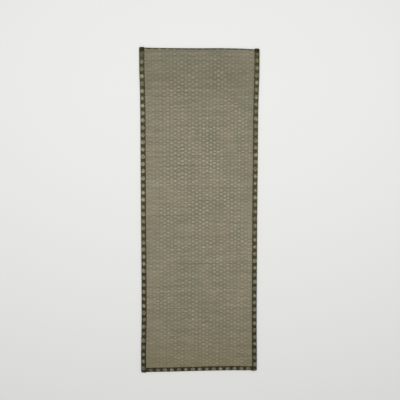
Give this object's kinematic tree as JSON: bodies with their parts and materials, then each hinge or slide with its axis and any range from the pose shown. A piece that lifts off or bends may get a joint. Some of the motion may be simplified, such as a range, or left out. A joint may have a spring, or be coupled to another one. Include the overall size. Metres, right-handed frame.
{
  "type": "woven rush floor mat",
  "caption": "Long thin woven rush floor mat lying flat, with dark brocade tape folded round its edges.",
  "frame": {"origin": "on the floor, under the middle of the mat's bounding box", "axes": "+Z up out of the mat's face, +Y along its length towards the end whose tape shows only as a sliver, +X across it to the right as seen from above with +Y up"},
  "size_m": [0.6517, 1.7902, 0.0078],
  "materials": {
    "rush": "woven rush, pale grey green, matt with a slight sheen along the strands",
    "tape": "dark olive brown brocade tape with a row of pale round flowers, matt"
  },
  "bodies": {
    "root": {"rush_panel": "rush", "tape_left": "tape", "tape_right": "tape", "tape_foot": "tape", "tape_head": "tape"}
  },
  "joints": []
}
